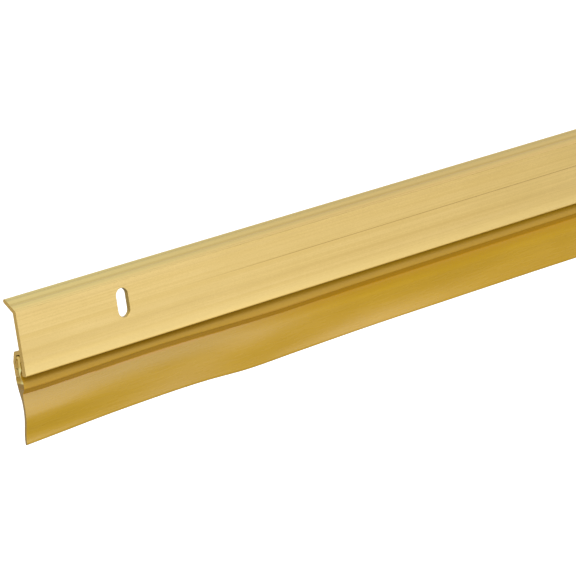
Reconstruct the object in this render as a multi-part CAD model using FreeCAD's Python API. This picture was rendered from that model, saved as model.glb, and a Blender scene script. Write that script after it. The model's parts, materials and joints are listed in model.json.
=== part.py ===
import FreeCAD, Part
import math
import os

# A door-bottom sweep: an extruded aluminium carrier that is screwed to the face of a door, and a
# vinyl insert in the carrier's pocket whose soft fin wipes the sill. All sizes are in millimetres.
#
# Frame: +X along the strip, +Y towards the door, +Z up. The origin is on the door plane, at
# mid-length, at mid-height of the flat pad behind the pocket that bears on the door.
#
# The section is drawn with two coordinates. Depth is counted from the front of the face towards
# the door. Drop is counted downwards from the crease where the lip meets the face.

# The strip
strip_length = 914.4
door_plane_depth = 5.75

# Carrier: face and lip
face_height = 19.9
wall = 1.6
lip_angle = math.radians(35.5)
lip_length = 5.7
lip_thickness = 1.4
edge_radius = 0.2
crease_radius = 0.4

# Carrier: fine flutes left by the die on the lip, as (distance from the crease, width, depth)
lip_flutes = [(0.65, 0.30, 0.06), (2.85, 1.10, 0.14), (5.10, 0.50, 0.08)]

# Carrier: pocket behind the face, open at the bottom
pocket_wall = 1.2
pocket_top_drop = 12.0
pocket_corner_depth = 4.45
pocket_corner_drop = 12.45
pad_top_drop = 15.8
pad_bottom_drop = 20.3
throat_drop = 17.9
throat_front_depth = 1.95
throat_back_depth = 3.75

# Carrier: screw slots, longer side vertical, for a No. 6 screw
slot_count = 4
slot_width = 4.2
slot_length = 8.9
slot_drop = 6.8
slot_end_distance = 38.1
slot_rim = 0.1

# Vinyl root: a leg folded over into a barb inside the pocket, and the band below the face
running_gap = 0.1
root_top_drop = 13.8
root_top_back_depth = 3.45
barb_shoulder_drop = 16.3
barb_bottom_drop = 17.6
fold_slit = 0.2
fold_slit_depth = 3.4
fold_eye_radius = 0.3
fold_eye_drop = 14.9
nose_drop = 15.3
band_front_depth = 2.1
shoulder_drop = 20.4
shoulder_taper_drop = 21.6
band_bottom_drop = 23.9

# Vinyl fin: a thin blade that hangs from its root and waves along the strip. Its slopes are those
# of its middle line, in degrees from straight down, positive where it heads for the door. It is
# given at places along the strip as (distance from the left end, slope near the root, slope half
# way down, slope at the tip, reach along the blade from the line that it bends along).
fin_axis_depth = 4.4
fin_axis_drop = 24.6
fin_root_radius = 0.85
fin_socket_gap = 0.05
fin_root_slope = -8.7
fin_waves = [
    (0, 1, 17, 2, 17.2),
    (12, 2, 17, 4, 16.75),
    (30, 7, 13, 8, 16.0),
    (53, 9, 9, 6, 15.35),
    (68, 8, 9, 8, 15.4),
    (85, 6, 12, 10, 16.2),
    (104, 9, 12, 6, 15.9),
    (135, 15, 10, 2, 15.5),
    (172, 16, 12, 9, 15.6),
    (220, 15, 14, 13, 15.65),
    (400, 8, 11, 10, 15.8),
    (560, 14, 13, 9, 15.7),
    (720, 7, 14, 8, 15.9),
    (860, 12, 10, 9, 15.8),
    (strip_length, 10, 11, 8, 15.8),
]
fin_section_count = 61

# Half of the blade's thickness, as (distance along it from the line that it bends along, half)
fin_halves = [(0, fin_root_radius), (3.6, 0.54), (10, 0.50), (18, 0.44)]

pad_middle_drop = (pad_top_drop + pad_bottom_drop) / 2


def at(depth, drop):
    """A point of the section, in the plane across the middle of the strip."""
    return FreeCAD.Vector(0, depth - door_plane_depth, pad_middle_drop - drop)


def rounded_edges(corners, closed=True):
    """Lines and tangent arcs through (depth, drop, corner radius) triples."""
    points = [at(depth, drop) for depth, drop, _ in corners]
    count = len(points)
    entries = []
    exits = []
    arcs = []
    for index, (_, _, radius) in enumerate(corners):
        here = points[index]
        end_point = not closed and index in (0, count - 1)
        if radius == 0 or end_point:
            entries.append(here)
            exits.append(here)
            arcs.append(None)
            continue
        back = (points[index - 1] - here).normalize()
        ahead = (points[(index + 1) % count] - here).normalize()
        half_angle = back.getAngle(ahead) / 2
        setback = radius / math.tan(half_angle)
        towards_centre = (back + ahead).normalize()
        middle = here + towards_centre * (radius / math.sin(half_angle) - radius)
        entries.append(here + back * setback)
        exits.append(here + ahead * setback)
        arcs.append(Part.Arc(entries[-1], middle, exits[-1]).toShape())
    edges = []
    for index in range(count):
        if arcs[index]:
            edges.append(arcs[index])
        following = (index + 1) % count
        if (closed or following) and (entries[following] - exits[index]).Length > 1e-6:
            edges.append(Part.LineSegment(exits[index], entries[following]).toShape())
    return edges


def extruded(face):
    """The section as a bar as long as the strip, centred on the middle of the strip."""
    bar = face.extrude(FreeCAD.Vector(strip_length, 0, 0))
    bar.translate(FreeCAD.Vector(-strip_length / 2, 0, 0))
    return bar


def bar_from(corners):
    return extruded(Part.Face(Part.Wire(rounded_edges(corners))))


def lengthwise_bore(depth, drop, radius):
    """A round bar along the whole strip, for cutting."""
    start = at(depth, drop) - FreeCAD.Vector(strip_length / 2, 0, 0)
    return Part.makeCylinder(radius, strip_length, start, FreeCAD.Vector(1, 0, 0))


def lip_point(along, below=0.0):
    """Depth and drop of a point on the lip's upper side, or some way below that side."""
    depth = along * math.cos(lip_angle) + below * math.sin(lip_angle)
    drop = -along * math.sin(lip_angle) + below * math.cos(lip_angle)
    return depth, drop


def lip_corners():
    """The lip from the crease up over its rounded back edge and down its underside."""
    corners = [(0, 0, crease_radius)]
    for along, width, depth in lip_flutes:
        corners.append((*lip_point(along - width / 2), 0))
        corners.append((*lip_point(along, depth), 0))
        corners.append((*lip_point(along + width / 2), 0))
    full_round = 0.499 * lip_thickness
    lip_end = lip_length + lip_thickness / 2
    corners.append((*lip_point(lip_end), full_round))
    corners.append((*lip_point(lip_end, lip_thickness), full_round))
    underside_drop = (lip_thickness - wall * math.sin(lip_angle)) / math.cos(lip_angle)
    corners.append((wall, underside_drop, crease_radius))
    return corners


def pocket_corners():
    """The pocket: over its top, down the pad, up the inside and down to the face's hooked foot."""
    inner_top_drop = pocket_top_drop + pocket_wall
    inner_back_depth = door_plane_depth - pocket_wall
    inner_corner_depth = pocket_corner_depth - 0.8 * pocket_wall
    return [
        (wall, pocket_top_drop, 0.4),
        (pocket_corner_depth, pocket_corner_drop, 0.7),
        (door_plane_depth, pad_top_drop, 2.0),
        (door_plane_depth, pad_bottom_drop, 0.1),
        (throat_back_depth, pad_bottom_drop, 0.3),
        (throat_back_depth, throat_drop, 0.15),
        (inner_back_depth, throat_drop, 0.0),
        (inner_back_depth, pad_top_drop + 0.2, 0.8),
        (inner_corner_depth, inner_top_drop + 0.3, 0.4),
        (wall, inner_top_drop, 0.3),
        (wall, throat_drop, 0.1),
        (throat_front_depth, throat_drop, 0.15),
        (throat_front_depth, face_height, 0.5),
    ]


def slot_wire(x, growth, depth):
    """The outline of a slot, grown outwards all round, at some depth."""
    radius = slot_width / 2 + growth
    half_straight = (slot_length - slot_width) / 2
    top = at(depth, slot_drop - half_straight) + FreeCAD.Vector(x, 0, 0)
    bottom = at(depth, slot_drop + half_straight) + FreeCAD.Vector(x, 0, 0)
    side = FreeCAD.Vector(radius, 0, 0)
    rise = FreeCAD.Vector(0, 0, radius)
    return Part.Wire([
        Part.Arc(top - side, top + rise, top + side).toShape(),
        Part.LineSegment(top + side, bottom + side).toShape(),
        Part.Arc(bottom + side, bottom - rise, bottom - side).toShape(),
        Part.LineSegment(bottom - side, top - side).toShape(),
    ])


def slot_positions():
    first = slot_end_distance - strip_length / 2
    pitch = -2 * first / (slot_count - 1)
    return [first + index * pitch for index in range(slot_count)]


def carrier():
    """The whole extrusion, with its slots and their broken front edges."""
    body = bar_from(lip_corners() + pocket_corners() + [(0, face_height, edge_radius)])
    through = FreeCAD.Vector(0, 2 * wall, 0)
    for x in slot_positions():
        slot = Part.Face(slot_wire(x, 0.0, -wall / 2)).extrude(through)
        outer = slot_wire(x, 2 * slot_rim, -slot_rim)
        inner = slot_wire(x, 0.0, slot_rim)
        rim = Part.makeLoft([outer, inner], True, True)
        body = body.cut(slot).cut(rim)
    return body


def vinyl_root():
    """The leg and its folded barb in the pocket, the throat, the shoulder and the band."""
    front_depth = wall + running_gap
    barb_back_depth = door_plane_depth - pocket_wall - running_gap
    throat_back = throat_back_depth - running_gap
    slit_front = fold_slit_depth - fold_slit / 2
    slit_back = fold_slit_depth + fold_slit / 2
    corners = [
        (front_depth, root_top_drop, 0.5),
        (root_top_back_depth, root_top_drop, 0.5),
        (barb_back_depth, barb_shoulder_drop, 0.6),
        (barb_back_depth, barb_bottom_drop, 0.2),
        (slit_back, barb_bottom_drop, 0.2),
        (slit_back, fold_eye_drop, 0.0),
        (slit_front, fold_eye_drop, 0.0),
        (slit_front, barb_bottom_drop - 0.3, 0.0),
        (throat_back, throat_drop, 0.2),
        (throat_back, shoulder_drop, 0.1),
        (door_plane_depth, shoulder_drop, 0.1),
        (door_plane_depth, shoulder_taper_drop, 2.0),
        (fin_axis_depth + fin_root_radius + 0.1, band_bottom_drop, 0.0),
        (band_front_depth, band_bottom_drop, 0.3),
        (band_front_depth, nose_drop + 0.5, 0.3),
        (front_depth, nose_drop, 0.3),
    ]
    body = bar_from(corners)
    body = body.cut(lengthwise_bore(fold_slit_depth, fold_eye_drop, fold_eye_radius))
    socket_radius = fin_root_radius + fin_socket_gap
    return body.cut(lengthwise_bore(fin_axis_depth, fin_axis_drop, socket_radius))


def read_off(rows, x, column=1):
    """A value read from rows of (x, values...) on a smooth curve through all of them."""
    last = len(rows) - 1
    spot = 0
    while spot < last - 1 and x > rows[spot + 1][0]:
        spot += 1
    before = rows[spot]
    after = rows[spot + 1]
    span = after[0] - before[0]
    t = min(max((x - before[0]) / span, 0.0), 1.0)

    def grade(index):
        low = rows[max(index - 1, 0)]
        high = rows[min(index + 1, last)]
        return (high[column] - low[column]) / (high[0] - low[0]) * span

    rise = after[column] - before[column]
    start = grade(spot)
    end = grade(spot + 1)
    return (before[column] + start * t + (3 * rise - 2 * start - end) * t * t
            + (start + end - 2 * rise) * t * t * t)


def fin_middle(x, steps=12):
    """The blade's middle line as (depth, drop, slope, half thickness), from root to tip."""
    reach = read_off(fin_waves, x, 4)
    slopes = [
        (0.0, fin_root_slope),
        (0.33 * reach, read_off(fin_waves, x, 1)),
        (0.68 * reach, read_off(fin_waves, x, 2)),
        (reach, read_off(fin_waves, x, 3)),
    ]
    depth = fin_axis_depth
    drop = fin_axis_drop
    step = (reach - fin_halves[-1][1]) / steps
    line = []
    for index in range(steps + 1):
        along = index * step
        slope = math.radians(read_off(slopes, along))
        line.append((depth, drop, slope, read_off(fin_halves, along)))
        ahead = math.radians(read_off(slopes, along + step / 2))
        depth += step * math.sin(ahead)
        drop += step * math.cos(ahead)
    return line


def fin_section(x):
    """The blade across at x: its back, round tip, front and round root."""
    line = fin_middle(x)
    shares = [index / (len(line) - 1) for index in range(len(line))]
    along = FreeCAD.Vector(x - strip_length / 2, 0, 0)

    def side(sign):
        points = []
        for depth, drop, slope, half in line:
            out = sign * half * math.cos(slope)
            down = -sign * half * math.sin(slope)
            points.append(at(depth + out, drop + down) + along)
        curve = Part.BSplineCurve()
        curve.interpolate(Points=points, Parameters=shares)
        return points, curve.toShape()

    back_points, back = side(1)
    front_points, front = side(-1)
    depth, drop, slope, half = line[-1]
    tip = at(depth + half * math.sin(slope), drop + half * math.cos(slope)) + along
    slope = line[0][2]
    crown_depth = fin_axis_depth - fin_root_radius * math.sin(slope)
    crown_drop = fin_axis_drop - fin_root_radius * math.cos(slope)
    crown = at(crown_depth, crown_drop) + along
    return Part.Wire([
        back,
        Part.Arc(back_points[-1], tip, front_points[-1]).toShape(),
        front,
        Part.Arc(front_points[0], crown, back_points[0]).toShape(),
    ])


def vinyl_fin():
    """The blade from end to end, through sections that stand closer together where it waves most."""
    shares = [index / (fin_section_count - 1) for index in range(fin_section_count)]
    places = [strip_length * (0.15 * share + 0.85 * share * share) for share in shares]
    return Part.makeLoft([fin_section(x) for x in places], True, True)


def write(name, shape):
    solids = shape.Solids
    assert shape.isValid() and len(solids) == 1, name
    solids[0].exportStep(f"parts/{name}.step")
    box = solids[0].BoundBox
    print(f"{name}: volume {solids[0].Volume / 1000:.2f} cm3, x {box.XMin:.2f} to {box.XMax:.2f}, "
          f"y {box.YMin:.2f} to {box.YMax:.2f}, z {box.ZMin:.2f} to {box.ZMax:.2f}")


os.makedirs("parts", exist_ok=True)
write("carrier", carrier())
write("vinyl_root", vinyl_root())
write("vinyl_fin", vinyl_fin())
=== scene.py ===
import bpy
import bmesh
import json
import math
from mathutils import Matrix, Vector


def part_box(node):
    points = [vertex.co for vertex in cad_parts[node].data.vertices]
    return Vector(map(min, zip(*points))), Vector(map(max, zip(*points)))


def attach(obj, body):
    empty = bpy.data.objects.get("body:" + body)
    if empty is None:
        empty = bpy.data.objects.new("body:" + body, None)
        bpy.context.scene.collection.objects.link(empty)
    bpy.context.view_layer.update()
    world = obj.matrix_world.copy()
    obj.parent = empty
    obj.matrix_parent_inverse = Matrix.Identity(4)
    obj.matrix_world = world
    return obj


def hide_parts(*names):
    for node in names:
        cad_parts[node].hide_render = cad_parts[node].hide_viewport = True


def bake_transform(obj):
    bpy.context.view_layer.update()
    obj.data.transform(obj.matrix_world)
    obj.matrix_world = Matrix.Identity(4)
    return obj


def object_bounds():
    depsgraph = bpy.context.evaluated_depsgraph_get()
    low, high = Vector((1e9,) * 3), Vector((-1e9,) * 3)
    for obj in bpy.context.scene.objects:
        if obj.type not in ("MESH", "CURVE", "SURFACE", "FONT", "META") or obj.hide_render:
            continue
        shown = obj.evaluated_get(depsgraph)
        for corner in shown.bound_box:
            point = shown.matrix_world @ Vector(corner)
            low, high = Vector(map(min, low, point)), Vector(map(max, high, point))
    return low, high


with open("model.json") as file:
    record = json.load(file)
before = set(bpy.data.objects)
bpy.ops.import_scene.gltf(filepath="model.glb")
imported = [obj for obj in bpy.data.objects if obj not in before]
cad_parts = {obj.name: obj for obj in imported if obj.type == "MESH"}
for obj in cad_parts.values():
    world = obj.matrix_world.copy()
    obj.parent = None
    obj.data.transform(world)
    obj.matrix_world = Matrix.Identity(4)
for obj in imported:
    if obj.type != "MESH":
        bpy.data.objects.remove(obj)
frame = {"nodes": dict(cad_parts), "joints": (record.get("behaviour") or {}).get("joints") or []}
cad_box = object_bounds()

# A door-bottom sweep seen from its cut left end: a gold anodised extrusion with a vinyl insert.
# Lengths below are in millimetres along the section, as in the frame: +X along the strip, +Y
# towards the door, +Z up. MM turns them into Blender's metres.
MM = 0.001
STRIP_LEFT = cad_box[0].x / MM
STRIP_RIGHT = cad_box[1].x / MM
FACE_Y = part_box("carrier")[0].y / MM
BAND_BOTTOM_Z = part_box("vinyl_root")[0].z / MM
HINGE = next(joint for joint in frame["joints"] if joint["type"] == "hinge")
HINGE_Y = HINGE["pos_m"][1] / MM
HINGE_Z = HINGE["pos_m"][2] / MM
CREASE_Z = BAND_BOTTOM_Z + 23.9
LIP_ANGLE = math.radians(35.5)

# Camera: it looks down on the left end, tilted so that the strip climbs to the right
CAMERA_AZIMUTH = math.radians(-37.0)
CAMERA_ELEVATION = math.radians(12.208)
CAMERA_ROLL = math.radians(-8.4)
CAMERA_LENS = 209.375
CAMERA_DISTANCE = 1042.7
CAMERA_AIM = (100.07, 0.21)

# Vinyl band: how far it wanders up and down, as (distance from the left end, rise), and how far
# its front draws back under the face's edge. Where each begins and ends is a drop below the crease
# between lip and face.
BAND_STEP = 4.0
BAND_WANDER = [(0, -0.2), (8, -0.3), (50, 0.45), (95, -0.42), (130, 0.0), (300, 0.1), (500, -0.15),
               (700, 0.12), (920, -0.1)]
BAND_WANDER_FROM = 20.6
BAND_WANDER_RAMP = 2.0
BAND_RECESS = 0.8
BAND_RECESS_TOP = 18.0
BAND_RECESS_BOTTOM = 22.4
BAND_RECESS_FADE = 2.2
BAND_FRONT_DEPTH = 2.25

# Vinyl fin: it hangs free and waves. At each distance from the left end come the slopes of its
# middle line in degrees from straight down, near its root, half way and at its tip, then its reach.
FIN_ROOT_SLOPE = -8.7
FIN_WAVES = [
    (0, 1, 17, 2, 17.2),
    (12, 2, 17, 4, 16.75),
    (30, 7, 13, 8, 16.0),
    (53, 9, 9, 6, 15.35),
    (68, 8, 9, 8, 15.4),
    (85, 6, 12, 10, 16.2),
    (104, 9, 12, 6, 15.9),
    (135, 15, 10, 2, 15.5),
    (172, 16, 12, 9, 15.6),
    (220, 15, 14, 13, 15.65),
    (400, 8, 11, 10, 15.8),
    (560, 14, 13, 9, 15.7),
    (720, 7, 14, 8, 15.9),
    (860, 12, 10, 9, 15.8),
    (920, 10, 11, 8, 15.8),
]
# How the blade is drawn: cut back from that reach, with a heel that runs out FIN_HEEL below the
# hinge line, following the band's wander over its first millimetres, with its ends a little inside
# the CAD ends. Rows and half thicknesses are at distances down from the hinge line.
FIN_STEP = 3.0
FIN_CUT_BACK = 0.32
FIN_HEEL = 1.68
FIN_HEEL_LIMIT = 1.5
FIN_FOLLOWS_BAND = 6.0
FIN_ROWS = [-0.95, -0.8, -0.4, 0.0, 0.4, 0.7, 0.9, 1.2, 1.6, 2.2, 3.0, 3.8]
FIN_LOWER_ROWS = 20
FIN_INSET = 0.04
FIN_THICKNESS = [(-1, 0.97), (1.1, 0.77), (3.0, 0.53), (10, 0.48), (18, 0.41)]


# ---------------------------------------------------------------- node helpers

class Shader:
    """Adds nodes to a material's or a world's tree; every value may be a number or a socket."""

    def __init__(self, tree):
        self.tree = tree
        tree.nodes.clear()

    def node(self, kind, inputs=(), **settings):
        made = self.tree.nodes.new(kind)
        for name, value in settings.items():
            setattr(made, name, value)
        for key, value in dict(inputs).items():
            self.feed(made.inputs[key], value)
        return made

    def feed(self, socket, value):
        if isinstance(value, bpy.types.NodeSocket):
            self.tree.links.new(value, socket)
        elif isinstance(value, tuple) and socket.type == "RGBA":
            socket.default_value = (*value[:3], 1.0)
        else:
            socket.default_value = value

    def math(self, operation, a, b=0.0):
        return self.node("ShaderNodeMath", {0: a, 1: b}, operation=operation).outputs[0]

    def add(self, a, b):
        return self.math("ADD", a, b)

    def times(self, a, b):
        return self.math("MULTIPLY", a, b)

    def ramp(self, value, low, high, low_out=0.0, high_out=1.0):
        """Smooth change from low_out to high_out as value goes from low to high."""
        inputs = {"Value": value, "From Min": low, "From Max": high, "To Min": low_out, "To Max": high_out}
        return self.node("ShaderNodeMapRange", inputs, interpolation_type="SMOOTHSTEP").outputs[0]

    def band(self, value, centre, half_width, soft):
        """One inside a band about centre and nought outside it, with soft shoulders."""
        distance = self.math("ABSOLUTE", self.add(value, -centre))
        return self.ramp(distance, half_width, half_width + soft, 1.0, 0.0)

    def mix(self, factor, a, b, blend="MIX"):
        made = self.node("ShaderNodeMix", {0: factor}, data_type="RGBA", blend_type=blend)
        self.feed(made.inputs[6], a)
        self.feed(made.inputs[7], b)
        return made.outputs[2]

    def scaled(self, vector, scale):
        inputs = {0: vector, 1: scale}
        return self.node("ShaderNodeVectorMath", inputs, operation="MULTIPLY").outputs[0]

    def noise(self, vector, scale, detail=3.0, roughness=0.55):
        inputs = {"Vector": vector, "Scale": scale, "Detail": detail, "Roughness": roughness}
        return self.node("ShaderNodeTexNoise", inputs).outputs["Fac"]

    def split(self, vector):
        return self.node("ShaderNodeSeparateXYZ", {0: vector}).outputs


def srgb(red, green, blue):
    """A colour given as it looks on screen, 0 to 255, as linear light."""
    channels = (red / 255, green / 255, blue / 255)
    return tuple(c / 12.92 if c <= 0.04045 else ((c + 0.055) / 1.055) ** 2.4 for c in channels)


def new_material(name):
    """A material, its shader tree, and the place in millimetres and the normal to colour it by."""
    material = bpy.data.materials.new(name)
    material.use_nodes = True
    shader = Shader(material.node_tree)
    place = shader.node("ShaderNodeTexCoord")
    millimetres = shader.scaled(place.outputs["Object"], (1000.0, 1000.0, 1000.0))
    return material, shader, millimetres, place.outputs["Normal"]


def finish_material(shader, inputs):
    """Ends a material's tree in one surface shader with these inputs."""
    surface = shader.node("ShaderNodeBsdfPrincipled", inputs)
    shader.node("ShaderNodeOutputMaterial", {"Surface": surface.outputs[0]})


# ---------------------------------------------------------------- materials

def gold_aluminium():
    """Satin extruded aluminium, gold anodised: die lines along X, bare brown cut ends, and painted shade
    on the slot walls.
    """
    material, s, place, normal = new_material("gold_anodised_aluminium")
    x, y, z = s.split(place)[:3]
    nx, ny, nz = s.split(normal)[:3]
    drop = s.math("SUBTRACT", CREASE_Z, z)
    faces_front = s.ramp(ny, -0.9, -0.5, 1.0, 0.0)
    steep = s.ramp(s.math("ABSOLUTE", ny), 0.75, 0.9, 1.0, 0.0)

    fine_lines = s.noise(s.scaled(place, (0.012, 2.2, 2.2)), 1.0, 5.0, 0.6)
    broad_lines = s.noise(s.scaled(place, (0.006, 0.42, 0.42)), 1.0, 2.0, 0.5)
    grain = s.noise(s.scaled(place, (1.6, 5.0, 5.0)), 1.0, 3.0, 0.6)
    mottle = s.noise(s.scaled(place, (0.035, 0.12, 0.12)), 1.0, 2.0, 0.5)

    lines = s.add(s.ramp(fine_lines, 0.3, 0.7, -0.5, 0.5), s.ramp(broad_lines, 0.3, 0.7, -0.5, 0.5))
    shade = s.add(s.times(lines, 0.5), s.times(s.ramp(grain, 0.3, 0.7, -0.5, 0.5), 0.35))

    gold = s.mix(s.ramp(mottle, 0.35, 0.65), srgb(205, 178, 111), srgb(210, 183, 117))
    gold = s.mix(s.ramp(shade, -0.5, 0.5), srgb(191, 164, 96), gold)
    to_right = s.ramp(x, STRIP_LEFT, STRIP_LEFT + 150)
    # Painted reflection: the face is dimmed and warmed towards the right, where less of the studio's light
    # is reflected.
    painted_sheen_fade = s.ramp(x, STRIP_LEFT + 40, STRIP_LEFT + 170)
    gold = s.mix(painted_sheen_fade, gold, (0.94, 0.92, 0.85), "MULTIPLY")
    # Painted highlight: the face's lower part is lightened, more at the left end.
    painted_lower_highlight = s.times(s.ramp(drop, 14.8, 19.0), s.ramp(x, STRIP_LEFT, STRIP_LEFT + 150, 0.85, 0.5))
    gold = s.mix(s.times(painted_lower_highlight, faces_front), gold, srgb(214, 188, 119))

    on_lip = s.ramp(nz, 0.3, 0.7)
    up_lip = s.times(s.math("SUBTRACT", y, FACE_Y), 1.0 / math.cos(LIP_ANGLE))
    # Painted highlight in a light band along the lip's crease; painted shade in two darker bands further
    # up the lip.
    lip_gold = s.mix(s.band(up_lip, 0.5, 0.35, 0.9), srgb(200, 180, 112), srgb(213, 188, 118))
    lip_gold = s.mix(s.times(s.band(up_lip, 2.85, 0.35, 0.6), 0.6), lip_gold, srgb(186, 164, 100))
    lip_gold = s.mix(s.times(s.band(up_lip, 5.2, 0.3, 0.6), 0.7), lip_gold, srgb(184, 170, 110))
    lip_gold = s.mix(s.ramp(shade, -0.5, 0.5, 0.35, 0.0), lip_gold, srgb(176, 156, 94))
    # Painted reflection: the lip too is dimmed and warmed towards the right.
    lip_gold = s.mix(to_right, lip_gold, (0.95, 0.87, 0.77), "MULTIPLY")
    gold = s.mix(on_lip, gold, lip_gold)

    # Painted shade: the face's rounded bottom edge, which turns down, is painted a deeper brown.
    edge = s.times(s.ramp(drop, 19.3, 19.7), s.ramp(y, FACE_Y + 1.0, FACE_Y + 1.6, 1.0, 0.0))
    gold = s.mix(edge, gold, srgb(192, 158, 74))

    line_strength = s.ramp(x, STRIP_LEFT + 55, STRIP_LEFT + 110, 0.05, 0.9)
    die_line = s.times(s.band(drop, 7.4, 0.05, 0.09), line_strength)
    soft_line = s.times(s.band(drop, 12.9, 0.15, 0.9), 0.10)
    high_line = s.times(s.band(drop, 1.5, 0.1, 0.5), 0.08)
    marks = s.add(s.add(die_line, soft_line), high_line)
    gold = s.mix(s.times(marks, faces_front), gold, srgb(146, 117, 56))

    cut = s.ramp(s.math("ABSOLUTE", ny), 0.2, 0.6, 1.0, 0.0)
    sawn = s.times(cut, s.ramp(s.math("ABSOLUTE", nx), 0.6, 0.9))
    saw_marks = s.noise(s.scaled(place, (1.0, 1.2, 9.0)), 1.0, 4.0, 0.6)
    bare = s.mix(s.ramp(saw_marks, 0.3, 0.7), srgb(190, 152, 62), srgb(214, 178, 86))
    gold = s.mix(sawn, gold, bare)
    # Painted shade on the walls inside the slots.
    painted_slot_shade = s.times(steep, s.times(s.ramp(drop, 0.8, 1.2), s.ramp(drop, 11.7, 11.9, 1.0, 0.0)))
    painted_slot_shade = s.times(painted_slot_shade, s.ramp(s.math("ABSOLUTE", x), STRIP_RIGHT - 2, STRIP_RIGHT - 1, 1.0, 0.0))
    gold = s.mix(s.times(painted_slot_shade, 0.85), gold, srgb(170, 140, 46))

    roughness = s.add(0.36, s.add(s.times(lines, 0.05), s.times(sawn, 0.15)))
    height = s.add(s.times(lines, 0.010), s.times(s.ramp(grain, 0.3, 0.7), 0.006))
    height = s.add(height, s.times(sawn, s.times(saw_marks, 0.03)))
    bump = s.node("ShaderNodeBump", {"Strength": 0.6, "Distance": 0.001, "Height": height})

    finish_material(s, {
        "Base Color": gold,
        "Metallic": s.ramp(sawn, 0.0, 1.0, 0.85, 0.45),
        "Roughness": roughness,
        "Anisotropic": 0.6,
        "Anisotropic Rotation": 0.25,
        "Tangent": s.node("ShaderNodeCombineXYZ", {0: 1.0}).outputs[0],
        "Normal": bump.outputs[0],
        "Coat Weight": 0.4,
        "Coat Roughness": 0.35,
    })
    return material


def vinyl_colour(s, place):
    """The gold-brown both grades share, with faint drawn lines and a slow drift along the strip."""
    drawn = s.noise(s.scaled(place, (0.02, 1.1, 1.1)), 1.0, 4.0, 0.55)
    drift = s.noise(s.scaled(place, (0.03, 0.08, 0.08)), 1.0, 2.0, 0.5)
    colour = s.mix(s.ramp(drift, 0.35, 0.65), srgb(196, 154, 24), srgb(202, 160, 30))
    return s.mix(s.ramp(drawn, 0.35, 0.65, 0.0, 0.4), colour, srgb(194, 152, 22))


def rigid_vinyl():
    """The insert's stiff grade, gold-brown on its skin; its cut end has painted light and shade: pale
    yellow where lit, darker gold in the pocket's shade.
    """
    material, s, place, normal = new_material("rigid_vinyl_gold")
    x, y, z = s.split(place)[:3]
    nx = s.split(normal)[0]
    drop = s.math("SUBTRACT", CREASE_Z, z)
    depth = s.math("SUBTRACT", y, FACE_Y)
    colour = s.mix(0.5, vinyl_colour(s, place), srgb(176, 132, 10))

    cut = s.ramp(s.math("ABSOLUTE", nx), 0.7, 0.95)
    # Painted light and shade on the cut end: pale yellow on the lit foot below the pocket, darker gold on
    # the leg in the pocket's shade, and darker in front of and behind the core.
    core = s.times(s.ramp(depth, 1.7, 2.2), s.ramp(depth, 2.9, 3.8, 1.0, 0.0))
    leg = s.mix(core, srgb(190, 150, 58), srgb(222, 188, 96))
    foot = s.mix(core, srgb(206, 180, 92), srgb(242, 230, 152))
    end = s.mix(s.ramp(drop, 16.8, 18.2), leg, foot)
    end = s.mix(s.ramp(drop, 22.0, 22.6), end, srgb(150, 116, 40))
    colour = s.mix(cut, colour, end)

    # Painted shadow: the band's top, under the face's edge, is darkened, more at the left end, and its
    # sheen turned down there.
    painted_shadow_under_face = s.times(s.ramp(drop, 19.0, 20.8), s.ramp(drop, 21.0, 22.6, 1.0, 0.0))
    dimming = s.ramp(x, STRIP_LEFT + 60, STRIP_LEFT + 140, 0.75, 0.2)
    colour = s.mix(s.times(painted_shadow_under_face, dimming), colour, srgb(160, 118, 12))
    # Painted shade: the band's underside, where it steps back to the fin, is painted a deeper brown.
    under = s.ramp(drop, 23.6, 23.9)
    colour = s.mix(s.times(under, 0.5), colour, srgb(178, 128, 10))

    skin = s.noise(s.scaled(place, (1.5, 4.0, 4.0)), 1.0, 3.0, 0.5)
    bump = s.node("ShaderNodeBump", {"Strength": 0.2, "Distance": 0.001, "Height": s.times(skin, 0.015)})
    finish_material(s, {
        "Base Color": colour,
        "Roughness": s.ramp(skin, 0.3, 0.7, 0.42, 0.50),
        "Specular IOR Level": s.ramp(painted_shadow_under_face, 0.0, 1.0, 0.42, 0.15),
        "Normal": bump.outputs[0],
    })
    return material


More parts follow.
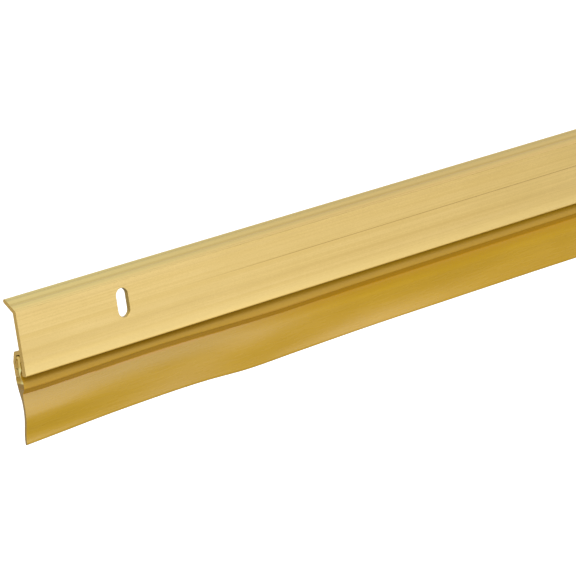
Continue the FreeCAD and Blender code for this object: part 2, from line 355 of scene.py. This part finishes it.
def flexible_vinyl():
    """The insert's soft grade: the same gold-brown, glossier, with a faint orange-peel skin, painted shade
    under the band and painted light on the blade towards the right.
    """
    material, s, place, normal = new_material("flexible_vinyl_gold")
    colour = vinyl_colour(s, place)
    x, _, z = s.split(place)[:3]
    nx = s.split(normal)[0]
    to_right = s.ramp(x, STRIP_LEFT + 40, STRIP_LEFT + 130)
    to_left = s.ramp(to_right, 0.0, 1.0, 0.6, 0.05)
    # Painted shade on the fin under the band: darker near the root at the left end, darker and more
    # saturated just under the heel towards the right.
    painted_shade_near_root = s.times(s.ramp(z, HINGE_Z - 8.0, HINGE_Z - 3.0), to_left)
    painted_shade_under_heel = s.times(s.ramp(z, HINGE_Z - 4.6, HINGE_Z - 1.4), s.times(to_right, 0.95))
    blade = s.times(s.ramp(z, HINGE_Z - 5.0, HINGE_Z - 3.0, 1.0, 0.0), to_right)
    colour = s.mix(painted_shade_near_root, colour, srgb(184, 146, 30))
    colour = s.mix(painted_shade_under_heel, colour, srgb(192, 146, 18))
    dull = s.times(s.ramp(z, HINGE_Z - 7.0, HINGE_Z - 2.5), to_right)
    # Painted light: the blade's lower part is lightened towards the right.
    colour = s.mix(blade, colour, (1.08, 1.07, 1.07), "MULTIPLY")
    # Painted shade: the heel under the band is painted a deeper, more saturated brown.
    heel = s.ramp(z, HINGE_Z - 1.6, HINGE_Z - 0.9)
    colour = s.mix(s.times(heel, 0.7), colour, srgb(196, 142, 12))
    cut = s.ramp(s.math("ABSOLUTE", nx), 0.7, 0.95)
    colour = s.mix(cut, colour, srgb(150, 118, 40))
    skin = s.noise(s.scaled(place, (0.12, 0.9, 0.9)), 1.0, 3.0, 0.5)
    bump = s.node("ShaderNodeBump", {"Strength": 0.12, "Distance": 0.001, "Height": s.times(skin, 0.010)})
    finish_material(s, {
        "Base Color": colour,
        "Roughness": s.ramp(skin, 0.3, 0.7, 0.24, 0.30),
        "Specular IOR Level": s.ramp(dull, 0.0, 1.0, 0.8, 0.2),
        "Normal": bump.outputs[0],
    })
    return material


def floor_material():
    """Nearly white paper, lit a little from within so that it stays pale in the strip's shade."""
    material, s, place = new_material("studio_floor")[:3]
    shade = s.noise(place, 0.002, 2.0)
    colour = s.mix(shade, (0.90, 0.90, 0.90), (0.93, 0.93, 0.93))
    finish_material(s, {"Base Color": colour, "Roughness": 0.9, "Emission Color": colour,
                        "Emission Strength": 0.45})
    return material


# ---------------------------------------------------------------- meshes

def end_outline(node):
    """The section of an extruded CAD node, as an ordered loop of (y, z) in metres."""
    mesh = frame["nodes"][node].data
    left = min(vertex.co.x for vertex in mesh.vertices)

    def key(index):
        point = mesh.vertices[index].co
        return round(point.y, 7), round(point.z, 7)

    uses = {}
    for polygon in mesh.polygons:
        if all(abs(mesh.vertices[i].co.x - left) < 1e-6 for i in polygon.vertices):
            for a, b in polygon.edge_keys:
                pair = frozenset((key(a), key(b)))
                uses[pair] = uses.get(pair, 0) + 1
    links = {}
    for pair, count in uses.items():
        if count == 1 and len(pair) == 2:
            a, b = pair
            links.setdefault(a, []).append(b)
            links.setdefault(b, []).append(a)
    start = min(links)
    loop = [start]
    while True:
        ahead = [point for point in links[loop[-1]] if point not in loop[-2:]]
        ahead = [point for point in ahead if point != start or len(loop) > 2]
        if not ahead or ahead[0] == start:
            break
        loop.append(ahead[0])
    area = sum(a[0] * b[1] - b[0] * a[1] for a, b in zip(loop, loop[1:] + loop[:1]))
    return loop if area > 0 else loop[::-1]


def stations(step):
    """Places along the strip, in millimetres from its left end, evenly spaced."""
    length = STRIP_RIGHT - STRIP_LEFT
    count = math.ceil(length / step)
    return [length * index / count for index in range(count + 1)]


def lofted(name, rings, sharp_angle=35.0):
    """A closed mesh through equal rings of points, with flat ends."""
    mesh = bpy.data.meshes.new(name)
    shape = bmesh.new()
    rows = [[shape.verts.new(point) for point in ring] for ring in rings]
    size = len(rings[0])
    for near, far in zip(rows, rows[1:]):
        for index in range(size):
            after = (index + 1) % size
            shape.faces.new((near[index], near[after], far[after], far[index]))
    shape.faces.new(rows[0][::-1])
    shape.faces.new(rows[-1])
    bmesh.ops.recalc_face_normals(shape, faces=shape.faces)
    for face in shape.faces:
        face.smooth = True
    for edge in shape.edges:
        edge.smooth = edge.calc_face_angle(0.0) < math.radians(sharp_angle)
    shape.to_mesh(mesh)
    shape.free()
    piece = bpy.data.objects.new(name, mesh)
    bpy.context.scene.collection.objects.link(piece)
    return piece


def read_off(rows, x, column=1):
    """A value read from rows of (x, values...) on a smooth curve through all of them."""
    last = len(rows) - 1
    spot = 0
    while spot < last - 1 and x > rows[spot + 1][0]:
        spot += 1
    before, after = rows[spot], rows[spot + 1]
    span = after[0] - before[0]
    t = min(max((x - before[0]) / span, 0.0), 1.0)

    def grade(index):
        low, high = rows[max(index - 1, 0)], rows[min(index + 1, last)]
        return (high[column] - low[column]) / (high[0] - low[0]) * span

    rise = after[column] - before[column]
    start, end = grade(spot), grade(spot + 1)
    return (before[column] + start * t + (3 * rise - 2 * start - end) * t * t
            + (start + end - 2 * rise) * t * t * t)


def subdivided(outline, longest):
    """The same closed outline with more points, none further apart than longest."""
    finer = []
    for (y0, z0), (y1, z1) in zip(outline, outline[1:] + outline[:1]):
        pieces = max(math.ceil(math.hypot(y1 - y0, z1 - z0) / longest), 1)
        finer += [(y0 + (y1 - y0) * i / pieces, z0 + (z1 - z0) * i / pieces) for i in range(pieces)]
    return finer


def vinyl_band():
    """The stiff leg, barb and band, on the CAD section. Below the face the band wanders a little,
    and its front draws back under the face's edge."""
    outline = subdivided(end_outline("vinyl_root"), 0.35 * MM)
    shaped = []
    for y, z in outline:
        depth, drop = y / MM - FACE_Y, CREASE_Z - z / MM
        share = min(max((drop - BAND_WANDER_FROM) / BAND_WANDER_RAMP, 0.0), 1.0)
        if depth < BAND_FRONT_DEPTH and BAND_RECESS_TOP < drop < BAND_RECESS_BOTTOM:
            fade = min(1.0, (BAND_RECESS_BOTTOM - drop) / BAND_RECESS_FADE) ** 2
            y += BAND_RECESS * fade * MM * min(1.0, drop - BAND_RECESS_TOP)
        shaped.append((y, z, share))
    rings = []
    for x in stations(BAND_STEP):
        rise = read_off(BAND_WANDER, x) * MM
        rings.append([((STRIP_LEFT + x) * MM, y, z + share * rise) for y, z, share in shaped])
    return lofted("vinyl_root_strip", rings)


def fin_middle(x, rows):
    """The blade's middle line: (y, z, slope in radians) at each row, counted from the hinge line."""
    root = math.radians(FIN_ROOT_SLOPE)
    reach = read_off(FIN_WAVES, x, 4)
    slopes = [(0.0, FIN_ROOT_SLOPE)]
    slopes += [(share * reach, read_off(FIN_WAVES, x, column))
               for share, column in ((0.33, 1), (0.68, 2), (1.0, 3))]
    middle = []
    y, z, done = HINGE_Y, HINGE_Z, 0.0
    for along in rows:
        if along <= 0:
            middle.append((HINGE_Y + along * math.sin(root), HINGE_Z - along * math.cos(root), root))
            continue
        slope = math.radians(read_off(slopes, (along + done) / 2))
        y += (along - done) * math.sin(slope)
        z -= (along - done) * math.cos(slope)
        done = along
        middle.append((y, z, math.radians(read_off(slopes, along))))
    return middle


def fin_ring(x):
    """The blade's section: a sloping heel under the band, then the thin blade and its round tip."""
    reach = read_off(FIN_WAVES, x, 4) - FIN_CUT_BACK
    rows = FIN_ROWS + [FIN_ROWS[-1] + (reach - FIN_ROWS[-1]) * (i + 1) / FIN_LOWER_ROWS
                       for i in range(FIN_LOWER_ROWS)]
    front = []
    back = []
    rise = read_off(BAND_WANDER, x)
    for along, (y, z, slope) in zip(rows, fin_middle(x, rows)):
        half = read_off(FIN_THICKNESS, along)
        heel = FIN_HEEL_LIMIT if along == rows[0] else FIN_HEEL - along
        ahead = max(half, heel)
        z += rise * min(max(1.0 - along / FIN_FOLLOWS_BAND, 0.0), 1.0)
        front.append((y - ahead * math.cos(slope), z - ahead * math.sin(slope)))
        back.append((y + half * math.cos(slope), z + half * math.sin(slope)))
    tip = []
    for turn in (30, 60, 90, 120, 150):
        across = -half * math.cos(math.radians(turn))
        down = 0.7 * half * math.sin(math.radians(turn))
        tip.append((y + across * math.cos(slope) + down * math.sin(slope),
                    z + across * math.sin(slope) - down * math.cos(slope)))
    x = min(max(STRIP_LEFT + x, STRIP_LEFT + FIN_INSET), STRIP_RIGHT - FIN_INSET)
    return [(x * MM, y * MM, z * MM) for y, z in front + tip + back[::-1]]


def vinyl_fin():
    """The soft blade, waving as it hangs free."""
    return lofted("vinyl_fin_blade", [fin_ring(x) for x in stations(FIN_STEP)])


# ---------------------------------------------------------------- camera, floor and light

def camera():
    """A long lens near the strip's left end, rolled so that the strip climbs to the right."""
    azimuth = CAMERA_AZIMUTH
    elevation = CAMERA_ELEVATION
    forward = Vector((-math.sin(azimuth) * math.cos(elevation), math.cos(azimuth) * math.cos(elevation),
                      -math.sin(elevation)))
    level = Vector((math.cos(azimuth), math.sin(azimuth), 0.0))
    right = Matrix.Rotation(-CAMERA_ROLL, 3, forward) @ level
    up = right.cross(forward)
    aim = Vector((STRIP_LEFT + CAMERA_AIM[0], FACE_Y, CAMERA_AIM[1])) * MM
    data = bpy.data.cameras.new("camera")
    data.lens = CAMERA_LENS
    data.sensor_width = 36.0
    data.clip_start = 0.05
    data.clip_end = 100.0
    made = bpy.data.objects.new("camera", data)
    place = Matrix((right, up, -forward)).transposed().to_4x4()
    place.translation = aim - forward * CAMERA_DISTANCE * MM
    made.matrix_world = place
    bpy.context.scene.collection.objects.link(made)
    bpy.context.scene.camera = made


def studio_floor():
    """A wide pale floor well below the strip; it is white to the camera and throws no light back."""
    mesh = bpy.data.meshes.new("studio_floor")
    shape = bmesh.new()
    bmesh.ops.create_grid(shape, x_segments=8, y_segments=8, size=20.0)
    shape.to_mesh(mesh)
    shape.free()
    floor = bpy.data.objects.new("studio_floor", mesh)
    floor.location.z = -1.3
    floor.data.materials.append(floor_material())
    floor.visible_diffuse = False
    floor.visible_glossy = False
    bpy.context.scene.collection.objects.link(floor)


def soft_light(name, place, aim, size, power):
    """A rectangular soft light, with its place, aim and size in metres and its power in watts."""
    data = bpy.data.lights.new(name, "AREA")
    data.shape = "RECTANGLE"
    data.size, data.size_y = size
    data.energy = power
    light = bpy.data.objects.new(name, data)
    light.location = place
    direction = Vector(aim) - Vector(place)
    light.rotation_mode = "QUATERNION"
    light.rotation_quaternion = direction.to_track_quat("-Z", "Y")
    bpy.context.scene.collection.objects.link(light)


def studio_world():
    """Pale surroundings, dimmer low down so that overhangs keep their shade."""
    world = bpy.data.worlds.new("studio")
    world.use_nodes = True
    s = Shader(world.node_tree)
    direction = s.node("ShaderNodeTexCoord").outputs["Generated"]
    height = s.split(direction)[2]
    low = s.ramp(height, -0.9, 0.0, 0.30, 0.75)
    sky = s.ramp(height, 0.0, 0.7, 0.0, 0.35)
    into_dark = s.node("ShaderNodeVectorMath", {0: direction, 1: (0.65, -0.40, -0.65)},
                       operation="DOT_PRODUCT").outputs["Value"]
    strength = s.times(s.add(low, sky), s.ramp(into_dark, 0.7, 1.0, 1.0, 0.5))
    background = s.node("ShaderNodeBackground", {"Color": (1.0, 1.0, 1.0), "Strength": strength})
    s.node("ShaderNodeOutputWorld", {"Surface": background.outputs[0]})
    bpy.context.scene.world = world


def studio_lights():
    soft_light("key", (-1.0, -1.3, 1.7), (-0.3, 0.0, 0.0), (1.4, 1.0), 18.0)
    soft_light("panel", (0.67, -2.03, -0.52), (-0.40, 0.0, 0.0), (1.85, 1.3), 10.3)
    soft_light("overhead", (0.45, 0.15, 1.65), (-0.40, 0.0, 0.0), (1.2, 1.0), 0.7)


# ---------------------------------------------------------------- the scene

camera()
studio_floor()
studio_world()
studio_lights()
bpy.context.scene.view_settings.view_transform = "Standard"

frame["nodes"]["carrier"].material_slots[0].material = gold_aluminium()

band = vinyl_band()
band.data.materials.append(rigid_vinyl())
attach(band, "insert")
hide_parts("vinyl_root")

fin = vinyl_fin()
fin.data.materials.append(flexible_vinyl())
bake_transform(fin)
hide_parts("vinyl_fin")
